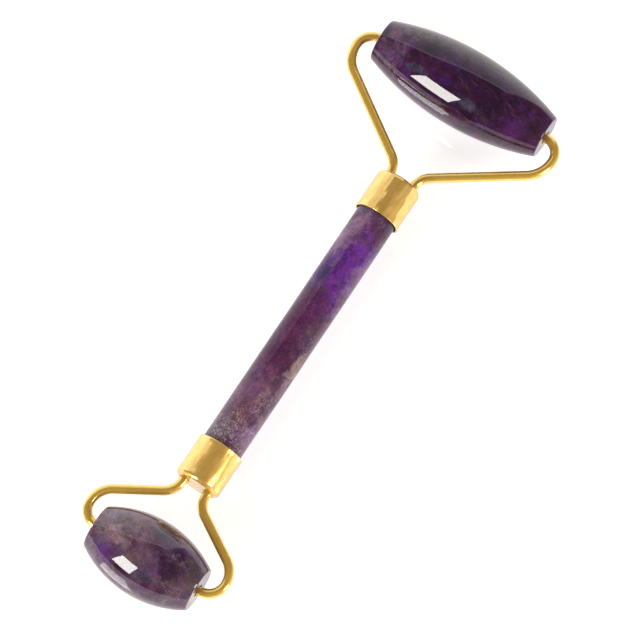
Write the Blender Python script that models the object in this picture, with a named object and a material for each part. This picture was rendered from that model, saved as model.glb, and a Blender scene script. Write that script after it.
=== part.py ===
"""Two-ended facial massage roller, in metres, +Z up.

A stone rod is the handle. A metal ferrule is glued on each end of it, and holds a fork bent
from one round wire. Each fork's two tips reach into a barrel-shaped stone roller, which turns
on them in two thin liner sleeves. The object lies on a table on its two rollers: the handle
runs along X with the large roller at +X, and the rollers' axes run along Y.
"""
from math import asin, atan2, ceil, cos, pi, sin, sqrt, tau

import bmesh
import bpy
from mathutils import Matrix, Vector

# Handle rod
ROD_DIAMETER = 0.0095
ROD_SHOWING = 0.0623  # between the two ferrules' open rims
ROD_INSERTION = 0.0053
ROD_CHAMFER = 0.0003

# Ferrules, the same at both ends
FERRULE_DIAMETER = 0.0108
FERRULE_LENGTH = 0.0099
FERRULE_END_WALL = 0.0010
FERRULE_EDGE_RADIUS = 0.0011
GLUE_GAP = 0.0001

# Fork wires
WIRE_DIAMETER = 0.0022
WIRE_HOLE_GAP = 0.00008
LEG_OFFSET = 0.0030  # from the handle's axis to each leg
LEG_SHOWING = 0.0005  # straight wire between the ferrule and the first bend
LEG_BEND = 0.0048
TIP_BEND = 0.0040  # the last bend, into the roller
BRIDGE_BEND = 0.0018  # the two hidden bends inside the ferrule
BRIDGE_CLEARANCE = 0.00015
AXLE_LENGTH = 0.0080
SIDE_PLAY = 0.0002  # between a roller's end face and the wire's bend

# Adhesive around the wire inside each ferrule
ADHESIVE_GAP = 0.0001
ADHESIVE_TUNNEL_GAP = 0.0001

# Stone rollers
ROLLER_DIAMETER = 0.0177
ROLLER_LAND = 0.0014  # straight band around the middle, on which the roller rests
ROLLER_EDGE_RADIUS = 0.0004
ROLLER_BORE = 0.0030
LARGE_END = {"reach": 0.0674, "length": 0.0430, "end_diameter": 0.0099, "shoulder_bend": 0.0072}
SMALL_END = {"reach": 0.0600, "length": 0.0262, "end_diameter": 0.0101, "shoulder_bend": 0.0056}

# Liner sleeves between axle tips and roller bores
LINER_DIAMETER = 0.0029
LINER_BORE = 0.00236
LINER_LENGTH = 0.0080
LINER_RECESS = 0.0006

# Facets
ROUND_SEGMENTS = 48
LINER_SEGMENTS = 24
WIRE_SEGMENTS = 16
CROWN_SEGMENTS = 9
EDGE_SEGMENTS = 3
BEND_STEP = pi / 20
SHARP_ANGLE = pi / 6

# Derived places
ROLLER_RADIUS = ROLLER_DIAMETER / 2
AXIS_HEIGHT = ROLLER_RADIUS
ROD_MIDDLE_X = (SMALL_END["reach"] - LARGE_END["reach"]) / 2
FERRULE_RIM = ROD_SHOWING / 2
FERRULE_FACE = FERRULE_RIM + FERRULE_LENGTH
BRIDGE_X = FERRULE_FACE - FERRULE_END_WALL - BRIDGE_CLEARANCE - BRIDGE_BEND


def make_material(name, color, roughness, metallic=0.0, transmission=0.0):
    material = bpy.data.materials.new(name)
    material.use_nodes = True
    shader = material.node_tree.nodes["Principled BSDF"]
    shader.inputs["Base Color"].default_value = (*color, 1.0)
    shader.inputs["Roughness"].default_value = roughness
    shader.inputs["Metallic"].default_value = metallic
    shader.inputs["Transmission Weight"].default_value = transmission
    return material


def flats(radius, segments):
    """Corner radius of a regular polygon whose flats lie at this radius."""
    return radius / cos(pi / segments)


def arc(centre, radius, start, end, segments):
    """Points on a circle from one angle to another, both ends included."""
    points = []
    for i in range(segments + 1):
        angle = start + (end - start) * i / segments
        points.append((centre[0] + radius * cos(angle), centre[1] + radius * sin(angle)))
    return points


def make_object(name, mesh, material, parent):
    mesh.materials.append(material)
    mesh.shade_smooth()
    mesh.set_sharp_from_angle(angle=SHARP_ANGLE)
    thing = bpy.data.objects.new(name, mesh)
    thing.parent = parent
    bpy.context.scene.collection.objects.link(thing)
    return thing


def make_axis(name, x, turn=0.0):
    """An empty on the height of the axes, which places the pieces built around it."""
    empty = bpy.data.objects.new(name, None)
    empty.location = (x, 0.0, AXIS_HEIGHT)
    empty.rotation_euler = (0.0, 0.0, turn)
    bpy.context.scene.collection.objects.link(empty)
    return empty


def finish_mesh(bm, name):
    bmesh.ops.recalc_face_normals(bm, faces=bm.faces)
    mesh = bpy.data.meshes.new(name)
    bm.to_mesh(mesh)
    bm.free()
    return mesh


def join_rings(bm, rings, ring_closed):
    """Quads between neighbouring rings of vertices, and caps or a last join at the ends."""
    pairs = list(zip(rings, rings[1:]))
    if ring_closed:
        pairs.append((rings[-1], rings[0]))
    for first, second in pairs:
        count = len(first)
        for i in range(count):
            j = (i + 1) % count
            bm.faces.new((first[i], first[j], second[j], second[i]))
    if not ring_closed:
        bm.faces.new(rings[0])
        bm.faces.new(rings[-1])


def turn_outline(name, outline, segments, hollow):
    """Turn (along, corner radius) points about X; a flat facet looks straight down and up."""
    bm = bmesh.new()
    rings = []
    for along, radius in outline:
        ring = []
        for i in range(segments):
            angle = tau * (i + 0.5) / segments
            ring.append(bm.verts.new((along, radius * sin(angle), radius * cos(angle))))
        rings.append(ring)
    join_rings(bm, rings, hollow)
    return finish_mesh(bm, name)


def follow(start, heading, moves):
    """Points along a path of (length, turn) moves: a straight run where turn is 0, or an arc."""
    points = [Vector(start)]
    for length, turn in moves:
        steps = max(1, ceil(abs(turn) / BEND_STEP))
        step_turn = turn / steps
        chord = length / steps
        if turn:
            chord = 2 * (length / turn) * sin(step_turn / 2)
        for _ in range(steps):
            heading += step_turn / 2
            points.append(points[-1] + chord * Vector((cos(heading), sin(heading))))
            heading += step_turn / 2
    return points


def sweep(name, path, radius):
    """A round bar along a flat path in the XY plane, with flat ends."""
    bm = bmesh.new()
    rings = []
    for i, point in enumerate(path):
        before = path[max(i - 1, 0)]
        after = path[min(i + 1, len(path) - 1)]
        along = (after - before).normalized()
        across = Vector((-along.y, along.x, 0.0))
        ring = []
        for k in range(WIRE_SEGMENTS):
            angle = tau * k / WIRE_SEGMENTS
            offset = across * cos(angle) + Vector((0.0, 0.0, sin(angle)))
            ring.append(bm.verts.new(point.to_3d() + radius * offset))
        rings.append(ring)
    join_rings(bm, rings, False)
    return finish_mesh(bm, name)


def mirror_path(half):
    """The whole path from half of it: mirrored about the handle's axis and joined at the middle."""
    other = [Vector((point.x, -point.y)) for point in half]
    return other[:0:-1] + half


def bridge_moves():
    """From the middle of the hidden bridge to where the leg points along the handle."""
    return [
        (LEG_OFFSET - BRIDGE_BEND, 0.0),
        (BRIDGE_BEND * pi / 2, -pi / 2),
    ]


def fork_path(end):
    """The whole fork's centreline, in the handle's plane, X outwards from the rod's middle.

    Each arm leaves its leg bend, runs straight at the spread angle to the shoulder bend, and
    the tip bend turns it into the roller. The straight run touches both bends' circles.
    """
    leg_end = FERRULE_FACE + LEG_SHOWING
    crest = end["length"] / 2 + SIDE_PLAY + TIP_BEND
    shoulder = end["shoulder_bend"]
    leg_centre = Vector((leg_end, LEG_OFFSET + LEG_BEND))
    shoulder_centre = Vector((end["reach"] - TIP_BEND, crest - shoulder))
    apart = shoulder_centre - leg_centre
    spread = asin((LEG_BEND + shoulder) / apart.length) + atan2(apart.y, apart.x)
    arm = apart.x * cos(spread) + apart.y * sin(spread)
    moves = bridge_moves()
    moves += [
        (leg_end - BRIDGE_X - BRIDGE_BEND, 0.0),
        (LEG_BEND * spread, spread),
        (arm, 0.0),
        (shoulder * spread, -spread),
        (TIP_BEND * pi / 2, -pi / 2),
        (AXLE_LENGTH, 0.0),
    ]
    return mirror_path(follow((BRIDGE_X, 0.0), pi / 2, moves))


def make_cutter(name, mesh, parent):
    cutter = bpy.data.objects.new(name, mesh)
    cutter.parent = parent
    cutter.hide_render = True
    cutter.display_type = "WIRE"
    bpy.context.scene.collection.objects.link(cutter)
    return cutter


def cut(thing, cutter):
    boolean = thing.modifiers.new("cut", "BOOLEAN")
    boolean.operation = "DIFFERENCE"
    boolean.solver = "EXACT"
    boolean.object = cutter


def make_rod(material, parent):
    radius = ROD_DIAMETER / 2
    half = FERRULE_RIM + ROD_INSERTION
    outline = [
        (-half, radius - ROD_CHAMFER),
        (-half + ROD_CHAMFER, radius),
        (half - ROD_CHAMFER, radius),
        (half, radius - ROD_CHAMFER),
    ]
    mesh = turn_outline("handle_rod", outline, ROUND_SEGMENTS, False)
    return make_object("handle_rod", mesh, material, parent)


def ferrule_outline():
    """A cup with its open rim at FERRULE_RIM: inner wall, end wall, rounded edge, outer wall."""
    inner = flats(ROD_DIAMETER / 2 + GLUE_GAP, ROUND_SEGMENTS)
    outer = FERRULE_DIAMETER / 2
    edge_centre = (FERRULE_FACE - FERRULE_EDGE_RADIUS, outer - FERRULE_EDGE_RADIUS)
    outline = arc(edge_centre, FERRULE_EDGE_RADIUS, 0.0, pi / 2, EDGE_SEGMENTS)
    outline += [(FERRULE_RIM, outer), (FERRULE_RIM, inner)]
    outline += [(FERRULE_FACE - FERRULE_END_WALL, inner)]
    return outline


def make_ferrule(name, material, parent):
    """The turned cup, with two holes through its end wall for the wire's legs."""
    mesh = turn_outline(name, ferrule_outline(), ROUND_SEGMENTS, False)
    ferrule = make_object(name, mesh, material, parent)
    hole_radius = flats(WIRE_DIAMETER / 2 + WIRE_HOLE_GAP, LINER_SEGMENTS)
    for side in (-1, 1):
        outline = [
            (FERRULE_FACE - 2 * FERRULE_END_WALL, hole_radius),
            (FERRULE_FACE + FERRULE_END_WALL, hole_radius),
        ]
        mesh = turn_outline(f"{name}_hole", outline, LINER_SEGMENTS, False)
        mesh.transform(Matrix.Translation((0.0, side * LEG_OFFSET, 0.0)))
        cut(ferrule, make_cutter(f"{name}_hole_{side:+d}", mesh, parent))
    return ferrule


def make_fork(name, end, material, parent):
    mesh = sweep(name, fork_path(end), WIRE_DIAMETER / 2)
    return make_object(name, mesh, material, parent)


def make_adhesive(name, material, parent):
    """A disc between the rod's end and the ferrule's end wall, with the wire's way cut in it."""
    start = FERRULE_RIM + ROD_INSERTION + ADHESIVE_GAP
    stop = FERRULE_FACE - FERRULE_END_WALL - ADHESIVE_GAP
    radius = ROD_DIAMETER / 2
    mesh = turn_outline(name, [(start, radius), (stop, radius)], ROUND_SEGMENTS, False)
    adhesive = make_object(name, mesh, material, parent)
    moves = bridge_moves() + [(FERRULE_END_WALL, 0.0)]
    path = mirror_path(follow((BRIDGE_X, 0.0), pi / 2, moves))
    tunnel = sweep(f"{name}_tunnel", path, WIRE_DIAMETER / 2 + ADHESIVE_TUNNEL_GAP)
    cut(adhesive, make_cutter(f"{name}_tunnel", tunnel, parent))
    return adhesive


def roller_outline(end):
    """One roller's section: a crowned outer face, small rounded edges and a straight bore."""
    half = end["length"] / 2
    end_radius = end["end_diameter"] / 2
    run = half - ROLLER_LAND / 2
    drop = ROLLER_RADIUS - end_radius
    crown = (run * run + drop * drop) / (2 * drop)
    crown_centre = (ROLLER_LAND / 2, ROLLER_RADIUS - crown)
    edge_along = half - ROLLER_EDGE_RADIUS
    edge_run = edge_along - crown_centre[0]
    edge_height = sqrt((crown - ROLLER_EDGE_RADIUS) ** 2 - edge_run**2)
    edge_centre = (edge_along, crown_centre[1] + edge_height)
    edge_angle = atan2(edge_height, edge_run)
    right = arc(crown_centre, crown, pi / 2, edge_angle, CROWN_SEGMENTS)
    right += arc(edge_centre, ROLLER_EDGE_RADIUS, edge_angle, 0.0, EDGE_SEGMENTS)[1:]
    right = [(along, flats(radius, ROUND_SEGMENTS)) for along, radius in right]
    right.append((half, flats(ROLLER_BORE / 2, ROUND_SEGMENTS)))
    left = [(-along, radius) for along, radius in right]
    return left[::-1] + right


def make_roller(name, end, material, parent):
    mesh = turn_outline(name, roller_outline(end), ROUND_SEGMENTS, True)
    mesh.transform(Matrix.Rotation(pi / 2, 4, "Z"))
    return make_object(name, mesh, material, parent)


def make_liner(name, end, side, material, parent):
    outer_end = end["length"] / 2 - LINER_RECESS
    inner_end = outer_end - LINER_LENGTH
    bore = flats(LINER_BORE / 2, LINER_SEGMENTS)
    outline = [
        (inner_end, bore),
        (inner_end, LINER_DIAMETER / 2),
        (outer_end, LINER_DIAMETER / 2),
        (outer_end, bore),
    ]
    mesh = turn_outline(name, outline, LINER_SEGMENTS, True)
    mesh.transform(Matrix.Rotation(side * pi / 2, 4, "Z"))
    return make_object(name, mesh, material, parent)


def make_end(label, end, direction, stone, brass, nylon, adhesive):
    """One end of the object: ferrule, fork and adhesive, and the roller with its two liners."""
    handle_end = make_axis(f"{label}_handle_end", ROD_MIDDLE_X, 0.0 if direction > 0 else pi)
    make_ferrule(f"{label}_end_ferrule", brass, handle_end)
    make_fork(f"{label}_fork_wire", end, brass, handle_end)
    make_adhesive(f"{label}_end_adhesive", adhesive, handle_end)
    roller_axis = make_axis(f"{label}_roller_axis", ROD_MIDDLE_X + direction * end["reach"])
    make_roller(f"{label}_roller_stone", end, stone, roller_axis)
    for side, side_name in ((1, "left"), (-1, "right")):
        make_liner(f"{label}_roller_liner_{side_name}", end, side, nylon, roller_axis)


def main():
    for thing in list(bpy.data.objects):
        bpy.data.objects.remove(thing)
    stone = make_material("purple_stone", (0.075, 0.030, 0.115), 0.08)
    brass = make_material("polished_gold_metal", (0.86, 0.62, 0.26), 0.18, metallic=1.0)
    nylon = make_material("natural_nylon", (0.80, 0.79, 0.74), 0.45)
    adhesive = make_material("clear_epoxy", (0.72, 0.66, 0.50), 0.30, transmission=0.4)
    make_rod(stone, make_axis("handle_axis", ROD_MIDDLE_X))
    make_end("large", LARGE_END, 1, stone, brass, nylon, adhesive)
    make_end("small", SMALL_END, -1, stone, brass, nylon, adhesive)


main()
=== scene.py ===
"""The looks of a two-ended stone face roller: its visible pieces, materials, studio and camera.

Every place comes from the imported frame. Lengths are in metres, but the patterns in the materials
are in millimetres of each piece's own coordinates, so that they ride with the rollers.
"""
from math import asin, atan2, ceil, cos, pi, radians, sin, sqrt, tau

import bmesh
import bpy
from mathutils import Matrix, Vector


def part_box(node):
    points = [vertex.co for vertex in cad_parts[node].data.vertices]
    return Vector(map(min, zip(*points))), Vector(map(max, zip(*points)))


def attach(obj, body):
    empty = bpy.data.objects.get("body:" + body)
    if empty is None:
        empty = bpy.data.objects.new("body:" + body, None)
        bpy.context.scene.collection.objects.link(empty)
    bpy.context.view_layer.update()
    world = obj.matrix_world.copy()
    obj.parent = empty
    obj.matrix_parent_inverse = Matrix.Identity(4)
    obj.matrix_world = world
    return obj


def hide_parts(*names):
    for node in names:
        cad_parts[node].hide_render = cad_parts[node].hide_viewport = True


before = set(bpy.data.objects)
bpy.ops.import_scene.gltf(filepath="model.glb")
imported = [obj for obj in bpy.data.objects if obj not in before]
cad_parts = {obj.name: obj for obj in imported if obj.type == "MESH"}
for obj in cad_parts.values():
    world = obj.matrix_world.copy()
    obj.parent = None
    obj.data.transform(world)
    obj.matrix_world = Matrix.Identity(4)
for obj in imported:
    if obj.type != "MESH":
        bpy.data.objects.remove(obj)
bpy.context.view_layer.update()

MM = 0.001
TO_MM = 1000.0

# Shapes that the frame's boxes don't give: rollers and handle
CAD_SIDES = 48
ROLLER_EDGE = 0.45 * MM
BORE_RADIUS = 1.5 * MM
BORE_CHAMFER = 0.12 * MM
END_RADIUS = {"large": 4.95 * MM, "small": 5.05 * MM}
HANDLE_CHAMFER = 0.3 * MM

# Ferrules: the lip swells from LIP_START to the rim, and has LIP_SHARE of its height at LIP_SWELL;
# the mouth is the dark groove of glue inside the rim
FERRULE_EDGE = 1.1 * MM
FERRULE_WALL = 1.0 * MM
RIM_LIP = 0.07 * MM
RIM_ROUND = 0.12 * MM
LIP_START = 0.9 * MM
LIP_SWELL = 0.5 * MM
LIP_SHARE = 0.3
MOUTH_WIDTH = 0.28 * MM
MOUTH_DEPTH = 0.70 * MM
GLUE_GAP = 0.1 * MM

# Forks
WIRE_RADIUS = 1.1 * MM
WIRE_HOLE_GAP = 0.14 * MM
LEG_OFFSET = 3.0 * MM
LEG_SHOWING = 0.5 * MM
LEG_BEND = 4.8 * MM
SHOULDER_BEND = {"large": 7.2 * MM, "small": 5.6 * MM}
TIP_BEND = 4.0 * MM
SIDE_PLAY = 0.2 * MM
AXLE_LENGTH = 8.0 * MM
HIDDEN_LEG = 1.6 * MM

# The hand-polished handle's waves: number around, radians per metre along, start and share
POLISH_DEPTH = 0.012 * MM
POLISH_WAVES = ((2, 210.0, 1.3, 1.0), (3, -330.0, 2.73, 0.6))

# Fineness of the visible meshes; the bands are narrow faces that keep shading flat beside an edge
STONE_SIDES = 192
CROWN_STEPS = 96
EDGE_STEPS = 10
HANDLE_STEPS = 60
METAL_SIDES = 128
FERRULE_STEPS = 24
WIRE_SIDES = 40
BEND_STEP = radians(2.5)
SHARP_ANGLE = radians(32)
ROLLER_BAND = 0.03 * MM
FACE_BAND = 0.05 * MM
WALL_BAND = 0.1 * MM

# Camera: its distance from the handle's middle, the turn from the world's axes to its own as a
# rotation vector, its offset along its own right and up, and its lens and sensor in millimetres
CAMERA_DISTANCE = 0.7944
CAMERA_ROTATION = (-0.26932, 0.14071, 0.99175)
CAMERA_OFFSET = (4.533 * MM, 2.713 * MM)
CAMERA_LENS = 204.6
CAMERA_SENSOR = 36.0


def middle(node):
    low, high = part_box(node)
    return (low + high) / 2


def span(node):
    low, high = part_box(node)
    return high - low


AXIS_Z = middle("handle_rod").z
HANDLE_X = middle("handle_rod").x
ROD_RADIUS = span("handle_rod").y / 2 / cos(pi / CAD_SIDES)
ROD_HALF = span("handle_rod").x / 2
FERRULE_RADIUS = span("large_end_ferrule").y / 2 / cos(pi / CAD_SIDES)
FERRULE_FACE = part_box("large_end_ferrule")[1].x - HANDLE_X
FERRULE_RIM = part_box("large_end_ferrule")[0].x - HANDLE_X


# ---------------------------------------------------------------- meshes

def finish_mesh(bm, name, material):
    """Make the bmesh into a smooth object that keeps its sharp edges."""
    bmesh.ops.recalc_face_normals(bm, faces=bm.faces)
    mesh = bpy.data.meshes.new(name)
    bm.to_mesh(mesh)
    bm.free()
    mesh.materials.append(material)
    mesh.shade_smooth()
    mesh.set_sharp_from_angle(angle=SHARP_ANGLE)
    thing = bpy.data.objects.new(name, mesh)
    bpy.context.scene.collection.objects.link(thing)
    return thing


def join_rings(bm, rings, closed):
    """Faces from each ring to the next, and either back to the first ring or over both ends."""
    pairs = list(zip(rings, rings[1:]))
    if closed:
        pairs.append((rings[-1], rings[0]))
    for first, second in pairs:
        count = len(first)
        for i in range(count):
            j = (i + 1) % count
            bm.faces.new((first[i], first[j], second[j], second[i]))
    if not closed:
        bm.faces.new(rings[0])
        bm.faces.new(rings[-1])


def arc(centre, radius, start, end, steps):
    """Points of a round stretch, from one angle to another."""
    points = []
    for i in range(steps + 1):
        angle = start + (end - start) * i / steps
        points.append((centre[0] + radius * cos(angle), centre[1] + radius * sin(angle)))
    return points


def turned(name, outline, sides, closed, place, material, wobble=None):
    """Turn (along, radius) points about X, then put the piece at its place.

    A closed outline comes back to its start, around a bore; an open one is capped at both ends.
    wobble is a small change of the radius.
    """
    bm = bmesh.new()
    rings = []
    for along, radius in outline:
        ring = []
        for i in range(sides):
            angle = tau * i / sides
            r = radius + (wobble(along, angle) if wobble else 0.0)
            ring.append(bm.verts.new((along, r * sin(angle), r * cos(angle))))
        rings.append(ring)
    join_rings(bm, rings, closed)
    bmesh.ops.transform(bm, matrix=place, verts=bm.verts)
    return finish_mesh(bm, name, material)


def follow(start, heading, moves):
    """Points along (length, turn) moves: a straight run where turn is 0, or an arc."""
    points = [Vector(start)]
    for length, turn in moves:
        steps = max(1, ceil(abs(turn) / BEND_STEP))
        step_turn = turn / steps
        chord = length / steps
        if turn:
            chord = 2 * (length / turn) * sin(step_turn / 2)
        for _ in range(steps):
            heading += step_turn / 2
            points.append(points[-1] + chord * Vector((cos(heading), sin(heading))))
            heading += step_turn / 2
    return points


def swept(name, path, radius, place, material):
    """A round wire along a flat path in the XY plane."""
    bm = bmesh.new()
    rings = []
    for i, point in enumerate(path):
        before = path[max(i - 1, 0)]
        after = path[min(i + 1, len(path) - 1)]
        along = (after - before).normalized()
        across = Vector((-along.y, along.x, 0.0))
        ring = []
        for k in range(WIRE_SIDES):
            angle = tau * k / WIRE_SIDES
            offset = across * cos(angle) + Vector((0.0, 0.0, sin(angle)))
            ring.append(bm.verts.new(point.to_3d() + radius * offset))
        rings.append(ring)
    join_rings(bm, rings, False)
    bmesh.ops.transform(bm, matrix=place, verts=bm.verts)
    return finish_mesh(bm, name, material)


# ---------------------------------------------------------------- shader nodes

class Nodes:
    """A node tree: node adds a node, feed fills a socket, the rest return a new node's result."""

    def __init__(self, tree):
        self.tree = tree

    def node(self, kind, settings, inputs):
        node = self.tree.nodes.new(kind)
        for key, value in settings.items():
            setattr(node, key, value)
        for key, value in inputs.items():
            self.feed(node.inputs[key], value)
        return node

    def feed(self, socket, value):
        if isinstance(value, bpy.types.NodeSocket):
            self.tree.links.new(value, socket)
        else:
            socket.default_value = value

    def vector(self, operation, first, second=None, **inputs):
        fed = {0: first}
        if second is not None:
            fed[1] = second
        node = self.node("ShaderNodeVectorMath", {"operation": operation}, {**fed, **inputs})
        if operation in ("DOT_PRODUCT", "LENGTH"):
            return node.outputs["Value"]
        return node.outputs["Vector"]

    def math(self, operation, first, second, clamp=False):
        settings = {"operation": operation, "use_clamp": clamp}
        return self.node("ShaderNodeMath", settings, {0: first, 1: second}).outputs[0]

    def mix(self, factor, first, second, blend="MIX"):
        """Colours mixed by factor; a colour can be a socket or three numbers."""
        node = self.node("ShaderNodeMix", {"data_type": "RGBA", "blend_type": blend}, {})
        self.feed(node.inputs[0], factor)
        self.feed(node.inputs[6], (*first, 1.0) if isinstance(first, tuple) else first)
        self.feed(node.inputs[7], (*second, 1.0) if isinstance(second, tuple) else second)
        return node.outputs[2]


class Shader(Nodes):
    """One material. set() feeds its Principled node and returns the material."""

    def __init__(self, name):
        self.material = bpy.data.materials.new(name)
        self.material.use_nodes = True
        super().__init__(self.material.node_tree)
        self.surface = self.tree.nodes["Principled BSDF"]

    def set(self, **values):
        for key, value in values.items():
            self.feed(self.surface.inputs[key.replace("_", " ")], value)
        return self.material

    def place(self):
        """The piece's own coordinates, in millimetres."""
        coords = self.node("ShaderNodeTexCoord", {}, {})
        return self.vector("SCALE", coords.outputs["Object"], Scale=TO_MM)

    def noise(self, where, scale, detail, roughness=0.5, distortion=0.0, seed=0.0, color=False):
        """Cloudy noise, from 0 to 1; a different seed gives a different pattern."""
        inputs = {"Vector": where, "W": seed, "Scale": scale, "Detail": detail}
        inputs.update({"Roughness": roughness, "Distortion": distortion})
        node = self.node("ShaderNodeTexNoise", {"noise_dimensions": "4D"}, inputs)
        return node.outputs["Color" if color else "Factor" if "Factor" in node.outputs else "Fac"]

    def ramp(self, value, low, high, start=0.0, end=1.0):
        """Smoothly from start to end while value goes from low to high."""
        inputs = {"Value": value, "From Min": low, "From Max": high, "To Min": start, "To Max": end}
        node = self.node("ShaderNodeMapRange", {"interpolation_type": "SMOOTHSTEP"}, inputs)
        return node.outputs["Result"]

    def palette(self, value, stops):
        """The colours in turn while value goes through their positions."""
        node = self.node("ShaderNodeValToRGB", {}, {"Fac": value})
        elements = node.color_ramp.elements
        node.color_ramp.interpolation = "EASE"
        while len(elements) < len(stops):
            elements.new(1.0)
        for element, (position, color) in zip(elements, stops):
            element.position = position
            element.color = (*color, 1.0)
        return node.outputs["Color"]

    def bump(self, height, distance, strength=1.0, normal=None):
        """A normal for a height from 0 to distance, on top of another normal if there is one."""
        inputs = {"Height": height, "Distance": distance, "Strength": strength}
        if normal is not None:
            inputs["Normal"] = normal
        return self.node("ShaderNodeBump", {}, inputs).outputs["Normal"]


# ---------------------------------------------------------------- materials

# Colours seen in the stone, as linear albedos
BLACK_PLUM = (0.018, 0.0025, 0.022)
DEEP_PLUM = (0.028, 0.0040, 0.030)
ROYAL = (0.052, 0.0090, 0.072)
PLUM = (0.046, 0.0070, 0.040)
WINE = (0.078, 0.0140, 0.058)
PURPLE = (0.094, 0.0260, 0.080)
PURPLE_MAUVE = (0.125, 0.0500, 0.130)
MAROON = (0.085, 0.0220, 0.062)
DUSTY_RED = (0.165, 0.0700, 0.088)
MAGENTA = (0.122, 0.0270, 0.120)
INDIGO = (0.038, 0.0080, 0.110)
VIOLET = (0.058, 0.0120, 0.120)
VIVID = (0.140, 0.0280, 0.270)
MAUVE = (0.090, 0.0480, 0.094)
PINK_MAUVE = (0.160, 0.0720, 0.128)
LILAC = (0.230, 0.1250, 0.220)
SMOKE = (0.105, 0.0720, 0.080)
OLIVE = (0.150, 0.1100, 0.098)
ASH = (0.205, 0.1350, 0.160)
SLATE = (0.052, 0.0500, 0.085)
GRAPHITE = (0.062, 0.0560, 0.054)
TAN = (0.290, 0.1950, 0.165)
FROST = (0.520, 0.4400, 0.500)

# Each layer's noise: a seed of its own, scale per millimetre, detail, roughness and distortion
LAYERS = {
    "drift": (0.0, 0.16, 3.0, 0.55, 0.0),
    "ragged": (2.0, 0.55, 5.0, 0.65, 0.4),
    "tone": (5.0, 0.13, 4.0, 0.55, 0.3),
    "clouds": (11.0, 0.38, 6.0, 0.62, 0.2),
    "hue": (13.0, 0.45, 5.0, 0.6, 0.3),
    "streaks": (17.0, 1.1, 4.0, 0.65, 0.2),
    "grain": (19.0, 2.6, 3.0, 0.75, 0.0),
    "flecks": (23.0, 2.8, 3.0, 0.75, 0.3),
    "polish": (29.0, 0.9, 3.0, 0.6, 0.0),
    "waves": (31.0, 0.20, 1.0, 0.4, 0.0),
}

# The part of its noise over which each layer comes in
RANGES = {
    "ragged": (0.30, 0.70),
    "clouds": (0.30, 0.70),
    "light streaks": (0.55, 0.76),
    "dark streaks": (0.44, 0.24),
    "grain": (0.32, 0.68),
    "flecks": (0.46, 0.70),
    "polish": (0.35, 0.70),
}

# The ground's colours are spread evenly over this part of the tone
BODY_START = 0.34
BODY_SPAN = 0.32

# What the layers do to the colour under them: the hue's tints go from brown to violet
TINTS = [(0.36, (1.07, 0.98, 0.94)), (0.50, (1.0, 1.0, 1.0)), (0.64, (0.90, 0.92, 1.20))]
LIGHT_STREAKS = 0.30
DARK_STREAKS = 0.35
GRAIN = (0.72, 1.30)

# How far the drift warps the patterns, in millimetres, and how much of their length along a
# streak is taken out
DRIFT = 5.0
STREAK_SQUASH = -0.86

# An oval is full up to the first share of its size and gone at the second; its edge is ragged
OVAL_FULL = 0.40
OVAL_GONE = 1.25
PATCH_RAGGED = 0.45
FROST_RAGGED = 0.6

# The polished surface: roughness, slow waves, refraction and the light that passes through
STONE_ROUGHNESS = (0.018, 0.032)
STONE_WAVE = 0.10 * MM
STONE_WAVE_STRENGTH = 0.05
QUARTZ_IOR = 1.55
STONE_CLEARNESS = 0.30
STONE_CLEAR_COLORS = (1.0, 0.4, 1.2)
STONE_CLEAR_DEPTH = 1.2 * MM


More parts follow.
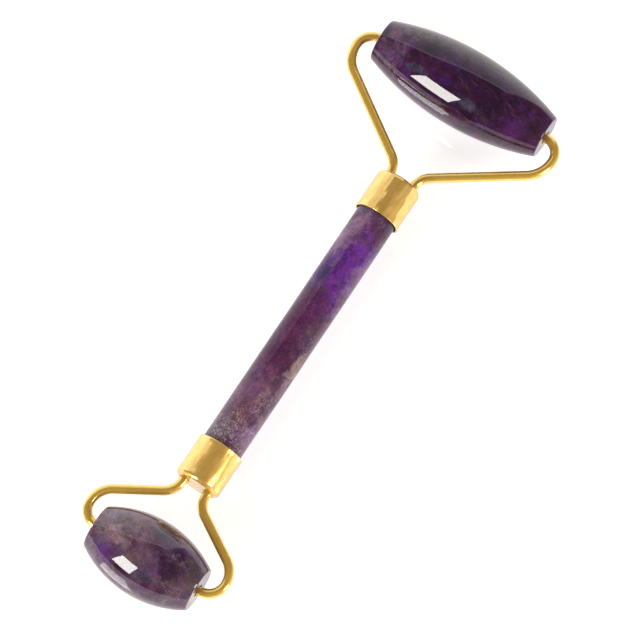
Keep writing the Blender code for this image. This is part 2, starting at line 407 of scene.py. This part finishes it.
class Stone:
    """One cloudy quartz material, worked in millimetres from the middle of its piece."""

    def __init__(self, name, node, radius, lengthwise, seed):
        self.shader = Shader(name)
        self.radius = radius
        self.lengthwise = lengthwise
        self.seed = seed
        shader = self.shader
        self.place = shader.vector("SUBTRACT", shader.place(), TO_MM * middle(node))
        drift = self.noise("drift", self.place, color=True)
        drift = shader.vector("SUBTRACT", drift, (0.5, 0.5, 0.5))
        drift = shader.vector("SCALE", drift, Scale=DRIFT)
        self.warped = shader.vector("ADD", self.place, drift)
        self.ragged = self.noise("ragged", self.place)

    def noise(self, layer, where, color=False):
        seed, *settings = LAYERS[layer]
        return self.shader.noise(where, *settings, self.seed + seed, color)

    def spot(self, along, around):
        """A point on the surface, around degrees from the top (toward +X, or +Y on the handle)."""
        side = self.radius * sin(radians(around))
        up = self.radius * cos(radians(around))
        if self.lengthwise == "X":
            return (along, side, up)
        return (side, along, up)

    def nearness(self, along, around, length, width, raggedness):
        """1 in the middle of a ragged oval on the surface, 0 outside it."""
        shader = self.shader
        across = 1.0 / width
        squash = (1.0 / length, across, across)
        if self.lengthwise == "Y":
            squash = (across, 1.0 / length, across)
        offset = shader.vector("SUBTRACT", self.warped, self.spot(along, around))
        distance = shader.vector("LENGTH", shader.vector("MULTIPLY", offset, squash))
        edge = shader.ramp(self.ragged, *RANGES["ragged"], -raggedness, raggedness)
        return shader.ramp(shader.math("ADD", distance, edge), OVAL_GONE, OVAL_FULL)

    def body(self, colors):
        """The ground: colours that the whole stone drifts between, in turn."""
        last = len(colors) - 1
        stops = [(BODY_START + BODY_SPAN * i / last, color) for i, color in enumerate(colors)]
        return self.shader.palette(self.noise("tone", self.warped), stops)

    def patch(self, base, patches):
        """Patches: along, around, length, width, colour and strength."""
        shader = self.shader
        for along, around, length, width, color, strength in patches:
            near = self.nearness(along, around, length, width, PATCH_RAGGED)
            base = shader.mix(shader.math("MULTIPLY", near, strength), base, color)
        return base

    def cloud(self, base, clouding):
        """Soft light and dark, with the hue moving between brown and violet."""
        shader = self.shader
        clouds = self.noise("clouds", self.warped)
        shade = shader.ramp(clouds, *RANGES["clouds"], 1.0 - clouding, 1.0 + clouding)
        base = shader.mix(1.0, base, shade, "MULTIPLY")
        hue = self.noise("hue", self.warped)
        return shader.mix(1.0, base, shader.palette(hue, TINTS), "MULTIPLY")

    def streak(self, base, direction):
        """Light and dark streaks: noise that is drawn out along one direction."""
        shader = self.shader
        along = shader.vector("DOT_PRODUCT", self.warped, direction)
        squash = shader.math("MULTIPLY", along, STREAK_SQUASH)
        drawn = shader.vector("SCALE", direction, Scale=squash)
        streaks = self.noise("streaks", shader.vector("ADD", self.warped, drawn))
        light = shader.ramp(streaks, *RANGES["light streaks"], 0.0, LIGHT_STREAKS)
        dark = shader.ramp(streaks, *RANGES["dark streaks"], 0.0, DARK_STREAKS)
        return shader.mix(dark, shader.mix(light, base, LILAC), BLACK_PLUM)

    def grain(self, base):
        """Crystals too small to see one by one."""
        shader = self.shader
        grain = shader.ramp(self.noise("grain", self.place), *RANGES["grain"], *GRAIN)
        return shader.mix(1.0, base, grain, "MULTIPLY")

    def frost(self, base, zones):
        """Frosty flecks in a few zones: along, around, length, width and strength."""
        shader = self.shader
        flecks = shader.ramp(self.noise("flecks", self.place), *RANGES["flecks"])
        for along, around, length, width, strength in zones:
            near = self.nearness(along, around, length, width, FROST_RAGGED)
            amount = shader.math("MULTIPLY", shader.math("MULTIPLY", near, flecks), strength)
            base = shader.mix(amount, base, FROST)
        return base

    def polished(self, base, shine):
        """The material with its finished colour and a polished, slightly wavy surface."""
        shader = self.shader
        polish = self.noise("polish", self.place)
        waves = self.noise("waves", self.place)
        return shader.set(
            Base_Color=base,
            Roughness=shader.ramp(polish, *RANGES["polish"], *STONE_ROUGHNESS),
            Normal=shader.bump(waves, STONE_WAVE, STONE_WAVE_STRENGTH),
            IOR=QUARTZ_IOR,
            Specular_IOR_Level=shine,
            Subsurface_Weight=STONE_CLEARNESS,
            Subsurface_Radius=STONE_CLEAR_COLORS,
            Subsurface_Scale=STONE_CLEAR_DEPTH,
        )


def make_stone(name, node, radius, look):
    stone = Stone(name, node, radius, look["lengthwise"], look["seed"])
    base = stone.body(look["body"])
    base = stone.patch(base, look["patches"])
    base = stone.cloud(base, look["clouding"])
    base = stone.streak(base, look["streak"])
    base = stone.grain(base)
    base = stone.frost(base, look["frost"])
    return stone.polished(base, look["shine"])


# The stones as the photograph shows them. A patch or a frosty zone is placed by millimetres along
# its piece and degrees around it from the top, and has a half length and a half width.
HANDLE_LOOK = {
    "lengthwise": "X",
    "seed": 1.0,
    "body": [WINE, PURPLE, MAUVE, VIOLET],
    "patches": [
        (-6, 5, 13, 6, PURPLE, 0.85),
        (-7, 38, 12, 3.0, WINE, 0.8),
        (3.5, 34, 6, 4.0, WINE, 0.85),
        (7, -18, 6, 3.5, MAGENTA, 0.85),
        (2, -38, 4, 1.8, SMOKE, 0.45),
        (-21, 5, 9, 9, PINK_MAUVE, 0.92),
        (-28, 24, 4, 4, SMOKE, 0.8),
        (-24, -5, 3.5, 1.8, DUSTY_RED, 0.7),
        (-28, -50, 5, 3.5, LILAC, 0.45),
        (-15, -50, 6, 3.0, PINK_MAUVE, 0.85),
        (26, -5, 5, 6, PURPLE_MAUVE, 0.85),
        (27, -40, 4, 3.0, PURPLE, 0.7),
        (17, -12, 8.5, 6.0, VIVID, 0.95),
        (20, -42, 6, 4.0, VIVID, 0.75),
        (11, -48, 5, 2.5, VIVID, 0.55),
        (13.5, 34, 5, 2.8, INDIGO, 0.9),
        (25, 36, 6, 3.0, LILAC, 0.85),
        (19, 5, 7, 0.5, INDIGO, 0.6),
        (14, 21, 6, 0.6, LILAC, 0.5),
        (16, -68, 10, 2.2, LILAC, 0.60),
        (0, -74, 10, 1.6, LILAC, 0.45),
        (-25, -74, 8, 2.2, LILAC, 0.60),
        (-8, -60, 3.6, 1.9, TAN, 0.9),
        (-18, -30, 2.5, 0.9, TAN, 0.35),
    ],
    "frost": [
        (-28, 22, 5, 4, 0.80),
        (-28, -40, 4.5, 4, 0.75),
        (-20, -42, 4.5, 2.0, 0.60),
        (-13, -66, 4, 2, 0.6),
        (-3, -40, 5, 1.5, 0.35),
        (29.5, -35, 1.5, 2, 0.3),
    ],
    "streak": (0.93, 0.34, 0.10),
    "clouding": 0.30,
    "shine": 0.28,
}

LARGE_ROLLER_LOOK = {
    "lengthwise": "Y",
    "seed": 5.0,
    "body": [BLACK_PLUM, PLUM, ROYAL, BLACK_PLUM],
    "patches": [
        (8, 58, 13, 6, SMOKE, 0.60),
        (-6, 62, 11, 5, GRAPHITE, 0.85),
        (-3, -10, 14, 6, DEEP_PLUM, 0.92),
        (-2, -46, 13, 4, BLACK_PLUM, 0.85),
        (18, -25, 4.5, 7, MAUVE, 0.92),
        (18, 35, 4, 5, PINK_MAUVE, 0.5),
        (14.5, 32, 2.5, 3, SMOKE, 0.6),
        (13, -7, 1.8, 1.2, SMOKE, 0.45),
        (3.0, 6, 4.0, 1.6, INDIGO, 0.40),
        (3.2, -22, 2.6, 1.2, INDIGO, 0.45),
        # painted halo: these two slate patches sit at both ends of the key highlight and paint its
        # bluish-grey fringe
        (10.8, -31, 3.2, 1.6, SLATE, 0.9),
        (-4.2, -36, 3.2, 1.5, SLATE, 0.85),
        (-9.5, -42, 2.5, 1.4, SMOKE, 0.30),
        (-12, -20, 4, 4, DEEP_PLUM, 0.8),
        (-16.0, -40, 3.6, 3.2, ROYAL, 0.85),
        (-19.5, -34, 2.0, 3.5, PLUM, 0.7),
        # painted shade: near-black along the lower edge toward -Y, where the floor is reflected
        (-11, -68, 8, 2.6, BLACK_PLUM, 0.8),
        (-9, -8, 6, 5, BLACK_PLUM, 0.75),
        (-16, 8, 3, 1.8, MAUVE, 0.4),
    ],
    "frost": [
        (-15.8, -63, 3, 2, 0.35),
        (15, -52, 2, 3, 0.30),
    ],
    "streak": (0.35, 0.90, 0.26),
    "clouding": 0.50,
    "shine": 0.5,
}

SMALL_ROLLER_LOOK = {
    "lengthwise": "Y",
    "seed": 9.0,
    "body": [PURPLE, MAUVE, SMOKE, PURPLE],
    "patches": [
        (8, 38, 8, 6, PINK_MAUVE, 0.80),
        (9.0, 8, 6, 6, ASH, 0.85),
        (6.5, 20, 2.6, 2.4, OLIVE, 0.65),
        (4.5, 4, 3.2, 1.6, MAROON, 0.65),
        (8, -40, 3.2, 2.8, VIOLET, 0.80),
        (11, -42, 1.5, 2.5, LILAC, 0.3),
        (1.5, -6, 4.5, 3.0, PINK_MAUVE, 0.45),
        (-1, 13, 3.0, 1.2, MAROON, 0.75),
        (-1.7, 31, 2.8, 1.4, SLATE, 0.7),
        (-7.4, 22, 3.4, 2.0, ROYAL, 0.90),
        (-7.5, -4, 4.2, 3.6, DEEP_PLUM, 0.90),
        # painted shade: the dark band between the key highlight and its reflection in the floor
        (2.5, -48, 4.8, 1.5, BLACK_PLUM, 0.9),
        # painted halo: slate just past the key highlight's end, for its bluish-grey fringe
        (-1.8, -34, 3.6, 2.0, SLATE, 0.65),
        (-6.4, -43, 3.6, 2.6, PLUM, 0.85),
        (-5.5, -64, 5, 2.0, PLUM, 0.8),
        (-10, -22, 2.5, 3, PURPLE, 0.8),
        (-4, -50, 4, 2, PLUM, 0.6),
        # painted shade: darkens the stone below the key highlight, toward the floor's reflection of
        # the key lamp
        (5, -64, 6, 2.6, PLUM, 0.9),
    ],
    "frost": [
        (-6.0, 14, 1.6, 1.0, 0.6),
        (7, 0, 5, 3, 0.35),
        (-9, -30, 3, 3, 0.25),
    ],
    "streak": (0.50, 0.84, 0.20),
    "clouding": 0.36,
    "shine": 0.5,
}


# The platings: gold, its deeper tone, roughness, depth of the soft folds and seed
FERRULE_GOLD = (0.98, 0.64, 0.15)
FERRULE_DEEP_GOLD = (0.87, 0.51, 0.08)
PLATINGS = {
    "gold_wire": ((1.0, 0.65, 0.12), (0.95, 0.58, 0.08), 0.15, 0.04 * MM, 6.0),
    "gold_large_ferrule": (FERRULE_GOLD, FERRULE_DEEP_GOLD, 0.17, 0.42 * MM, 3.0),
    "gold_small_ferrule": (FERRULE_GOLD, FERRULE_DEEP_GOLD, 0.21, 0.28 * MM, 1.0),
}

# The gold's patterns: scale per millimetre, detail and roughness of their noise, and how far each
# is drawn out along the handle. The lines are from buffing.
LINE_NOISE = (3.6, 4.0, 0.65)
LINE_STRETCH = (0.16, 1.0, 1.0)
FOLD_NOISE = (0.50, 1.0, 0.45)
FOLD_STRETCH = (0.32, 1.0, 1.0)
FOLD_SEED = 3.0
UNEVEN_NOISE = (0.50, 4.0, 0.6)
UNEVEN_SEED = 5.0

# What the patterns do: deeper colour in uneven places, darker lines, roughness and relief
UNEVEN_RANGE = (0.40, 0.68)
UNEVEN_SHARE = 0.65
LINE_RANGE = (0.50, 0.70)
LINE_SHARE = 0.55
LINE_SHADE = 0.7
GLOSS_RANGE = (0.30, 0.72)
GLOSS_SPREAD = (0.8, 1.5)
LINE_BUMP = (0.02 * MM, 0.30)
DENT_BUMP = (0.10 * MM, 0.12)

# The metal, its tint at a glancing angle and the lacquer over it
METALNESS = 0.68
EDGE_GOLD = (0.55, 0.45, 0.35, 1.0)
LACQUER_IOR = 1.8
LACQUER_ROUGHNESS = 0.05


def gold(name):
    """Lacquered gold plating with lengthwise buffing lines, an uneven colour and soft folds."""
    color, deep, roughness, folding, seed = PLATINGS[name]
    shader = Shader(name)
    place = shader.place()
    drawn = shader.vector("MULTIPLY", place, LINE_STRETCH)
    lines = shader.noise(drawn, *LINE_NOISE, seed=seed)
    drawn = shader.vector("MULTIPLY", place, FOLD_STRETCH)
    folds = shader.noise(drawn, *FOLD_NOISE, seed=seed + FOLD_SEED)
    uneven = shader.noise(place, *UNEVEN_NOISE, seed=seed + UNEVEN_SEED)
    dark = tuple(LINE_SHADE * part for part in deep)
    base = shader.mix(shader.ramp(uneven, *UNEVEN_RANGE, 0.0, UNEVEN_SHARE), color, deep)
    base = shader.mix(shader.ramp(lines, *LINE_RANGE, 0.0, LINE_SHARE), base, dark)
    gloss = [roughness * part for part in GLOSS_SPREAD]
    folded = shader.bump(folds, folding, normal=shader.bump(uneven, *DENT_BUMP))
    return shader.set(
        Base_Color=base,
        Metallic=METALNESS,
        Roughness=shader.ramp(lines, *GLOSS_RANGE, *gloss),
        Normal=shader.bump(lines, *LINE_BUMP, folded),
        Specular_Tint=EDGE_GOLD,
        Coat_Weight=1.0,
        Coat_IOR=LACQUER_IOR,
        Coat_Roughness=LACQUER_ROUGHNESS,
        Coat_Normal=folded,
    )


# The CAD's hidden pieces keep their meshes; their noise has a scale per millimetre and a detail
HIDDEN_COLOR_RANGE = (0.4, 0.7)
HIDDEN_GLOSS_RANGE = (0.3, 0.7)

NYLON_GRAIN = (2.5, 3.0)
NYLON_COLORS = ((0.70, 0.68, 0.62), (0.80, 0.79, 0.74))
NYLON_ROUGHNESS = (0.40, 0.55)
NYLON_BUMP = (0.02 * MM, 0.4)
NYLON_CLEARNESS = 0.2
NYLON_CLEAR_DEPTH = 0.5 * MM

EPOXY_CLOUD = (1.2, 3.0)
EPOXY_COLORS = ((0.030, 0.022, 0.016), (0.060, 0.042, 0.026))
EPOXY_ROUGHNESS = (0.22, 0.38)
EPOXY_BUMP = (0.03 * MM, 0.4)


def nylon():
    shader = Shader("liner_nylon")
    grain = shader.noise(shader.place(), *NYLON_GRAIN)
    return shader.set(
        Base_Color=shader.mix(shader.ramp(grain, *HIDDEN_COLOR_RANGE), *NYLON_COLORS),
        Roughness=shader.ramp(grain, *HIDDEN_GLOSS_RANGE, *NYLON_ROUGHNESS),
        Normal=shader.bump(grain, *NYLON_BUMP),
        Subsurface_Weight=NYLON_CLEARNESS,
        Subsurface_Scale=NYLON_CLEAR_DEPTH,
    )


def epoxy():
    shader = Shader("adhesive_epoxy")
    cloud = shader.noise(shader.place(), *EPOXY_CLOUD)
    return shader.set(
        Base_Color=shader.mix(shader.ramp(cloud, *HIDDEN_COLOR_RANGE), *EPOXY_COLORS),
        Roughness=shader.ramp(cloud, *HIDDEN_GLOSS_RANGE, *EPOXY_ROUGHNESS),
        Normal=shader.bump(cloud, *EPOXY_BUMP),
    )


# ---------------------------------------------------------------- pieces

def hand_polish(along, angle):
    """A few slow waves in the radius, as a hand-polished stone has."""
    wave = 0.0
    for lobes, twist, start, share in POLISH_WAVES:
        wave += share * sin(lobes * angle + twist * along + start)
    return POLISH_DEPTH * wave


def roller_outline(half, radius, end_radius):
    """One roller's section, from the bore's left end over the crown to the bore's right end."""
    drop = radius - end_radius
    crown = (half * half + drop * drop) / (2 * drop)
    crown_centre = (0.0, radius - crown)
    edge_along = half - ROLLER_EDGE
    edge_height = sqrt((crown - ROLLER_EDGE) ** 2 - edge_along**2)
    edge_centre = (edge_along, crown_centre[1] + edge_height)
    edge_angle = atan2(edge_height, edge_along)
    right = arc(crown_centre, crown, pi / 2, edge_angle, CROWN_STEPS)
    right += arc(edge_centre, ROLLER_EDGE, edge_angle, 0.0, EDGE_STEPS)[1:]
    right.append((half, right[-1][1] - ROLLER_BAND))
    right.append((half, BORE_RADIUS + BORE_CHAMFER + ROLLER_BAND))
    right.append((half, BORE_RADIUS + BORE_CHAMFER))
    right.append((half - BORE_CHAMFER, BORE_RADIUS))
    right.append((half - 2 * BORE_CHAMFER, BORE_RADIUS))
    left = [(-along, r) for along, r in right[1:]]
    return left[::-1] + right


def make_roller(label, material):
    node = f"{label}_roller_stone"
    outline = roller_outline(span(node).y / 2, span(node).z / 2, END_RADIUS[label])
    place = Matrix.Translation(middle(node)) @ Matrix.Rotation(pi / 2, 4, "Z")
    piece = turned(f"{label}_roller", outline, STONE_SIDES, True, place, material)
    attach(piece, f"{label}_roller")
    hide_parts(node)


def make_handle(material):
    """The rod. It goes on into both ferrules, where its chamfered ends are."""
    chamfered = ROD_RADIUS - HANDLE_CHAMFER
    outline = [(-ROD_HALF, chamfered), (-ROD_HALF + HANDLE_CHAMFER, ROD_RADIUS)]
    for i in range(1, HANDLE_STEPS):
        outline.append((-ROD_HALF + 2 * ROD_HALF * i / HANDLE_STEPS, ROD_RADIUS))
    outline += [(ROD_HALF - HANDLE_CHAMFER, ROD_RADIUS), (ROD_HALF, chamfered)]
    place = Matrix.Translation((HANDLE_X, 0.0, AXIS_Z))
    piece = turned("handle", outline, STONE_SIDES, False, place, material, hand_polish)
    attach(piece, "handle")
    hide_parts("handle_rod")


def end_place(direction):
    """Where an end's pieces go: they are made on the handle's +X side, and turned for the other."""
    turn = Matrix.Rotation(0.0 if direction > 0 else pi, 4, "Z")
    return Matrix.Translation((HANDLE_X, 0.0, AXIS_Z)) @ turn


def ferrule_outline():
    """A cup: end face, rounded edge, outer wall, small rolled lip at the rim, inner wall."""
    inner = ROD_RADIUS + GLUE_GAP
    edge_centre = (FERRULE_FACE - FERRULE_EDGE, FERRULE_RADIUS - FERRULE_EDGE)
    outline = [(FERRULE_FACE, edge_centre[1] - FACE_BAND)]
    outline += arc(edge_centre, FERRULE_EDGE, 0.0, pi / 2, 2 * EDGE_STEPS)
    outline.append((edge_centre[0] - WALL_BAND, FERRULE_RADIUS))
    wall = FERRULE_RIM + LIP_START - edge_centre[0]
    for i in range(1, FERRULE_STEPS + 1):
        outline.append((edge_centre[0] + wall * i / FERRULE_STEPS, FERRULE_RADIUS))
    outline.append((FERRULE_RIM + LIP_SWELL, FERRULE_RADIUS + LIP_SHARE * RIM_LIP))
    lip_centre = (FERRULE_RIM + RIM_ROUND, FERRULE_RADIUS + RIM_LIP - RIM_ROUND)
    outline += arc(lip_centre, RIM_ROUND, pi / 2, pi, EDGE_STEPS)
    outline.append((FERRULE_RIM, inner + MOUTH_WIDTH))
    outline.append((FERRULE_RIM + MOUTH_DEPTH, inner))
    outline.append((FERRULE_FACE - FERRULE_WALL, inner))
    return outline


def make_ferrule(label, direction, material):
    """The cup, with a hole in its end face for each of the fork's legs."""
    place = end_place(direction)
    piece = turned(f"{label}_ferrule", ferrule_outline(), METAL_SIDES, False, place, material)
    for side in (-1, 1):
        outline = [
            (FERRULE_FACE - 2 * FERRULE_WALL, WIRE_RADIUS + WIRE_HOLE_GAP),
            (FERRULE_FACE + FERRULE_WALL, WIRE_RADIUS + WIRE_HOLE_GAP),
        ]
        shift = Matrix.Translation((0.0, side * LEG_OFFSET, 0.0))
        cutter = turned("hole", outline, METAL_SIDES // 2, False, place @ shift, material)
        boolean = piece.modifiers.new("hole", "BOOLEAN")
        boolean.solver = "EXACT"
        boolean.object = cutter
        with bpy.context.temp_override(object=piece, active_object=piece):
            bpy.ops.object.modifier_apply(modifier=boolean.name)
        bpy.data.objects.remove(cutter)
    piece.data.set_sharp_from_angle(angle=SHARP_ANGLE)
    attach(piece, "handle")
    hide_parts(f"{label}_end_ferrule")


def fork_path(label):
    """The fork's centreline: two arms, each with a leg bend, a shoulder bend and a tip bend."""
    roller = f"{label}_roller_stone"
    reach = abs(middle(roller).x - HANDLE_X)
    leg_end = FERRULE_FACE + LEG_SHOWING
    crest = span(roller).y / 2 + SIDE_PLAY + TIP_BEND
    shoulder = SHOULDER_BEND[label]
    leg_centre = Vector((leg_end, LEG_OFFSET + LEG_BEND))
    shoulder_centre = Vector((reach - TIP_BEND, crest - shoulder))
    apart = shoulder_centre - leg_centre
    spread = asin((LEG_BEND + shoulder) / apart.length) + atan2(apart.y, apart.x)
    arm = apart.x * cos(spread) + apart.y * sin(spread)
    start = FERRULE_FACE - HIDDEN_LEG
    moves = [
        (leg_end - start, 0.0),
        (LEG_BEND * spread, spread),
        (arm, 0.0),
        (shoulder * spread, -spread),
        (TIP_BEND * pi / 2, -pi / 2),
        (AXLE_LENGTH, 0.0),
    ]
    return follow((start, LEG_OFFSET), 0.0, moves)


def make_fork(label, direction, material):
    """Both arms of one fork; their hidden bridge is inside the ferrule."""
    arm = fork_path(label)
    other = [Vector((point.x, -point.y)) for point in arm]
    for side, path in (("left", arm), ("right", other[::-1])):
        piece = swept(f"{label}_fork_{side}", path, WIRE_RADIUS, end_place(direction), material)
        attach(piece, "handle")
        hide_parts(f"{label}_fork_wire")


# ---------------------------------------------------------------- studio

FLOOR_WHITE = 0.60
FLOOR_MOTTLING = 0.02
FLOOR_NOISE = (0.02, 2.0)
FLOOR_GLOW = 0.70
FLOOR_GLOSS = 0.22
FLOOR_ROUGHNESS = 0.04
FLOOR_HALF = 0.9


def make_floor():
    """A glossy white light table: it glows, scatters and mirrors a little."""
    shader = Shader("studio_floor")
    tree = shader.tree
    tree.nodes.remove(shader.surface)
    mottle = shader.noise(shader.place(), *FLOOR_NOISE)
    white = shader.mix(mottle, (FLOOR_WHITE,) * 3, (FLOOR_WHITE + FLOOR_MOTTLING,) * 3)
    gloss = {"Color": (*(FLOOR_GLOSS,) * 3, 1.0), "Roughness": FLOOR_ROUGHNESS}
    matt = shader.node("ShaderNodeBsdfDiffuse", {}, {"Color": white})
    glow = shader.node("ShaderNodeEmission", {}, {"Strength": FLOOR_GLOW})
    mirror = shader.node("ShaderNodeBsdfGlossy", {}, gloss)
    both = shader.node("ShaderNodeAddShader", {}, {0: matt.outputs[0], 1: glow.outputs[0]})
    whole = shader.node("ShaderNodeAddShader", {}, {0: both.outputs[0], 1: mirror.outputs[0]})
    shader.feed(tree.nodes["Material Output"].inputs["Surface"], whole.outputs[0])
    mesh = bpy.data.meshes.new("studio_floor")
    size = FLOOR_HALF
    corners = [(-size, -size, 0), (size, -size, 0), (size, size, 0), (-size, size, 0)]
    mesh.from_pydata(corners, [], [(0, 1, 2, 3)])
    mesh.materials.append(shader.material)
    floor = bpy.data.objects.new("studio_floor", mesh)
    bpy.context.scene.collection.objects.link(floor)


# The light tent around the table: dim and warm, and lighter toward -Y. It has one bright wall
# toward +X and +Y, in the directions that are in front of all its planes. The wall's glow falls
# off toward the zenith, and it is brighter along the rim where it meets the planes of its tops.
TENT_DIM = (0.21, 0.17, 0.13)
TENT_SIDE = (0.50, 0.45, 0.40)
SIDE_START = -0.30
SIDE_RISE = 2.2
WALL_TOPS = [(1.0, 0.185, -0.43), (1.0, 0.906, -0.768)]
WALL_SIDE = (0.2, 1.0, 0.0)
WALL_EDGE = 0.010
WALL_GLOW = 1.60
WALL_FALLOFF = 1.15
WALL_RIM = 0.06
WALL_RIM_GLOW = 0.55
BACKDROP = (1.0, 1.0, 1.0)


def make_world():
    world = bpy.data.worlds.new("light_tent")
    bpy.context.scene.world = world
    world.use_nodes = True
    tent = Nodes(world.node_tree)
    direction = tent.node("ShaderNodeTexCoord", {}, {}).outputs["Generated"]
    split = tent.node("ShaderNodeSeparateXYZ", {}, {0: direction})

    def inside(plane, margin):
        """1 for directions in front of the plane by more than margin, else 0, with a soft edge."""
        depth = tent.vector("DOT_PRODUCT", direction, Vector(plane).normalized())
        depth = tent.math("SUBTRACT", depth, margin - WALL_EDGE)
        return tent.math("MULTIPLY", depth, 0.5 / WALL_EDGE, True)

    wall = inside(WALL_SIDE, 0.0)
    core = 1.0
    for plane in WALL_TOPS:
        wall = tent.math("MULTIPLY", wall, inside(plane, 0.0))
        core = tent.math("MULTIPLY", core, inside(plane, WALL_RIM))
    rim = tent.math("MULTIPLY", tent.math("SUBTRACT", 1.0, core), WALL_RIM_GLOW)
    fall = tent.math("MULTIPLY", split.outputs["Z"], WALL_FALLOFF)
    glow = tent.math("ADD", tent.math("SUBTRACT", WALL_GLOW, fall), rim)
    side = tent.math("SUBTRACT", SIDE_START, split.outputs["Y"])
    side = tent.math("MULTIPLY", side, SIDE_RISE, True)
    light = tent.mix(wall, tent.mix(side, TENT_DIM, TENT_SIDE), glow)

    # what the camera sees behind the table is plain white
    seen = tent.node("ShaderNodeLightPath", {}, {}).outputs["Is Camera Ray"]
    background = tent.tree.nodes["Background"]
    tent.feed(background.inputs["Color"], tent.mix(seen, light, BACKDROP))


# Softboxes: azimuth and elevation as seen from the handle, distance, width, height and radiance,
# all with one slightly warm colour
SOFTBOXES = {
    "key": (160.0, 27.5, 1.20, 0.42, 0.61, 16.0),
    "side": (-92.0, 25.0, 0.70, 0.18, 0.26, 13.0),
}
LAMP_COLOR = (1.03, 1.0, 0.96)


def make_softbox(name, azimuth, elevation, distance, width, height, radiance):
    light = bpy.data.lights.new(name, "AREA")
    light.shape = "RECTANGLE"
    light.size = width
    light.size_y = height
    light.color = LAMP_COLOR
    light.energy = radiance * pi * width * height
    lamp = bpy.data.objects.new(name, light)
    turn = radians(azimuth)
    tilt = radians(elevation)
    direction = Vector((cos(tilt) * cos(turn), cos(tilt) * sin(turn), sin(tilt)))
    lamp.location = Vector((0.0, 0.0, AXIS_Z)) + distance * direction
    lamp.rotation_euler = direction.to_track_quat("Z", "Y").to_euler()
    lamp.visible_camera = False
    bpy.context.scene.collection.objects.link(lamp)


def make_camera():
    """A long lens that looks down on the table, with the small end toward the lower left."""
    data = bpy.data.cameras.new("camera")
    data.lens = CAMERA_LENS
    data.sensor_width = CAMERA_SENSOR
    camera = bpy.data.objects.new("camera", data)
    turn = Vector(CAMERA_ROTATION)
    to_world = Matrix.Rotation(turn.length, 3, turn).transposed()
    offset = Vector((*CAMERA_OFFSET, CAMERA_DISTANCE))
    place = to_world.to_4x4()
    place.translation = Vector((HANDLE_X, 0.0, AXIS_Z)) + to_world @ offset
    camera.matrix_world = place
    bpy.context.scene.collection.objects.link(camera)
    bpy.context.scene.camera = camera


# ---------------------------------------------------------------- assembly

# Both ends: label, the way that it points along X, and how its roller looks
ENDS = [
    ("large", 1, LARGE_ROLLER_LOOK),
    ("small", -1, SMALL_ROLLER_LOOK),
]


def dress(thing, material):
    """Gives a CAD piece that stays visible its material."""
    thing.data.materials.clear()
    thing.data.materials.append(material)


def main():
    scene = bpy.context.scene
    scene.view_settings.view_transform = "Standard"
    scene.cycles.use_denoising = True
    scene.cycles.caustics_reflective = False

    wire_gold = gold("gold_wire")
    make_handle(make_stone("stone_handle", "handle_rod", TO_MM * ROD_RADIUS, HANDLE_LOOK))
    for label, direction, look in ENDS:
        node = f"{label}_roller_stone"
        radius = TO_MM * span(node).z / 2
        make_roller(label, make_stone(f"stone_{label}_roller", node, radius, look))
        make_ferrule(label, direction, gold(f"gold_{label}_ferrule"))
        make_fork(label, direction, wire_gold)

    liner = nylon()
    adhesive = epoxy()
    for name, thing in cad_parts.items():
        if "liner" in name:
            dress(thing, liner)
        elif "adhesive" in name:
            dress(thing, adhesive)

    make_floor()
    make_world()
    for name, numbers in SOFTBOXES.items():
        make_softbox(name, *numbers)
    make_camera()


main()
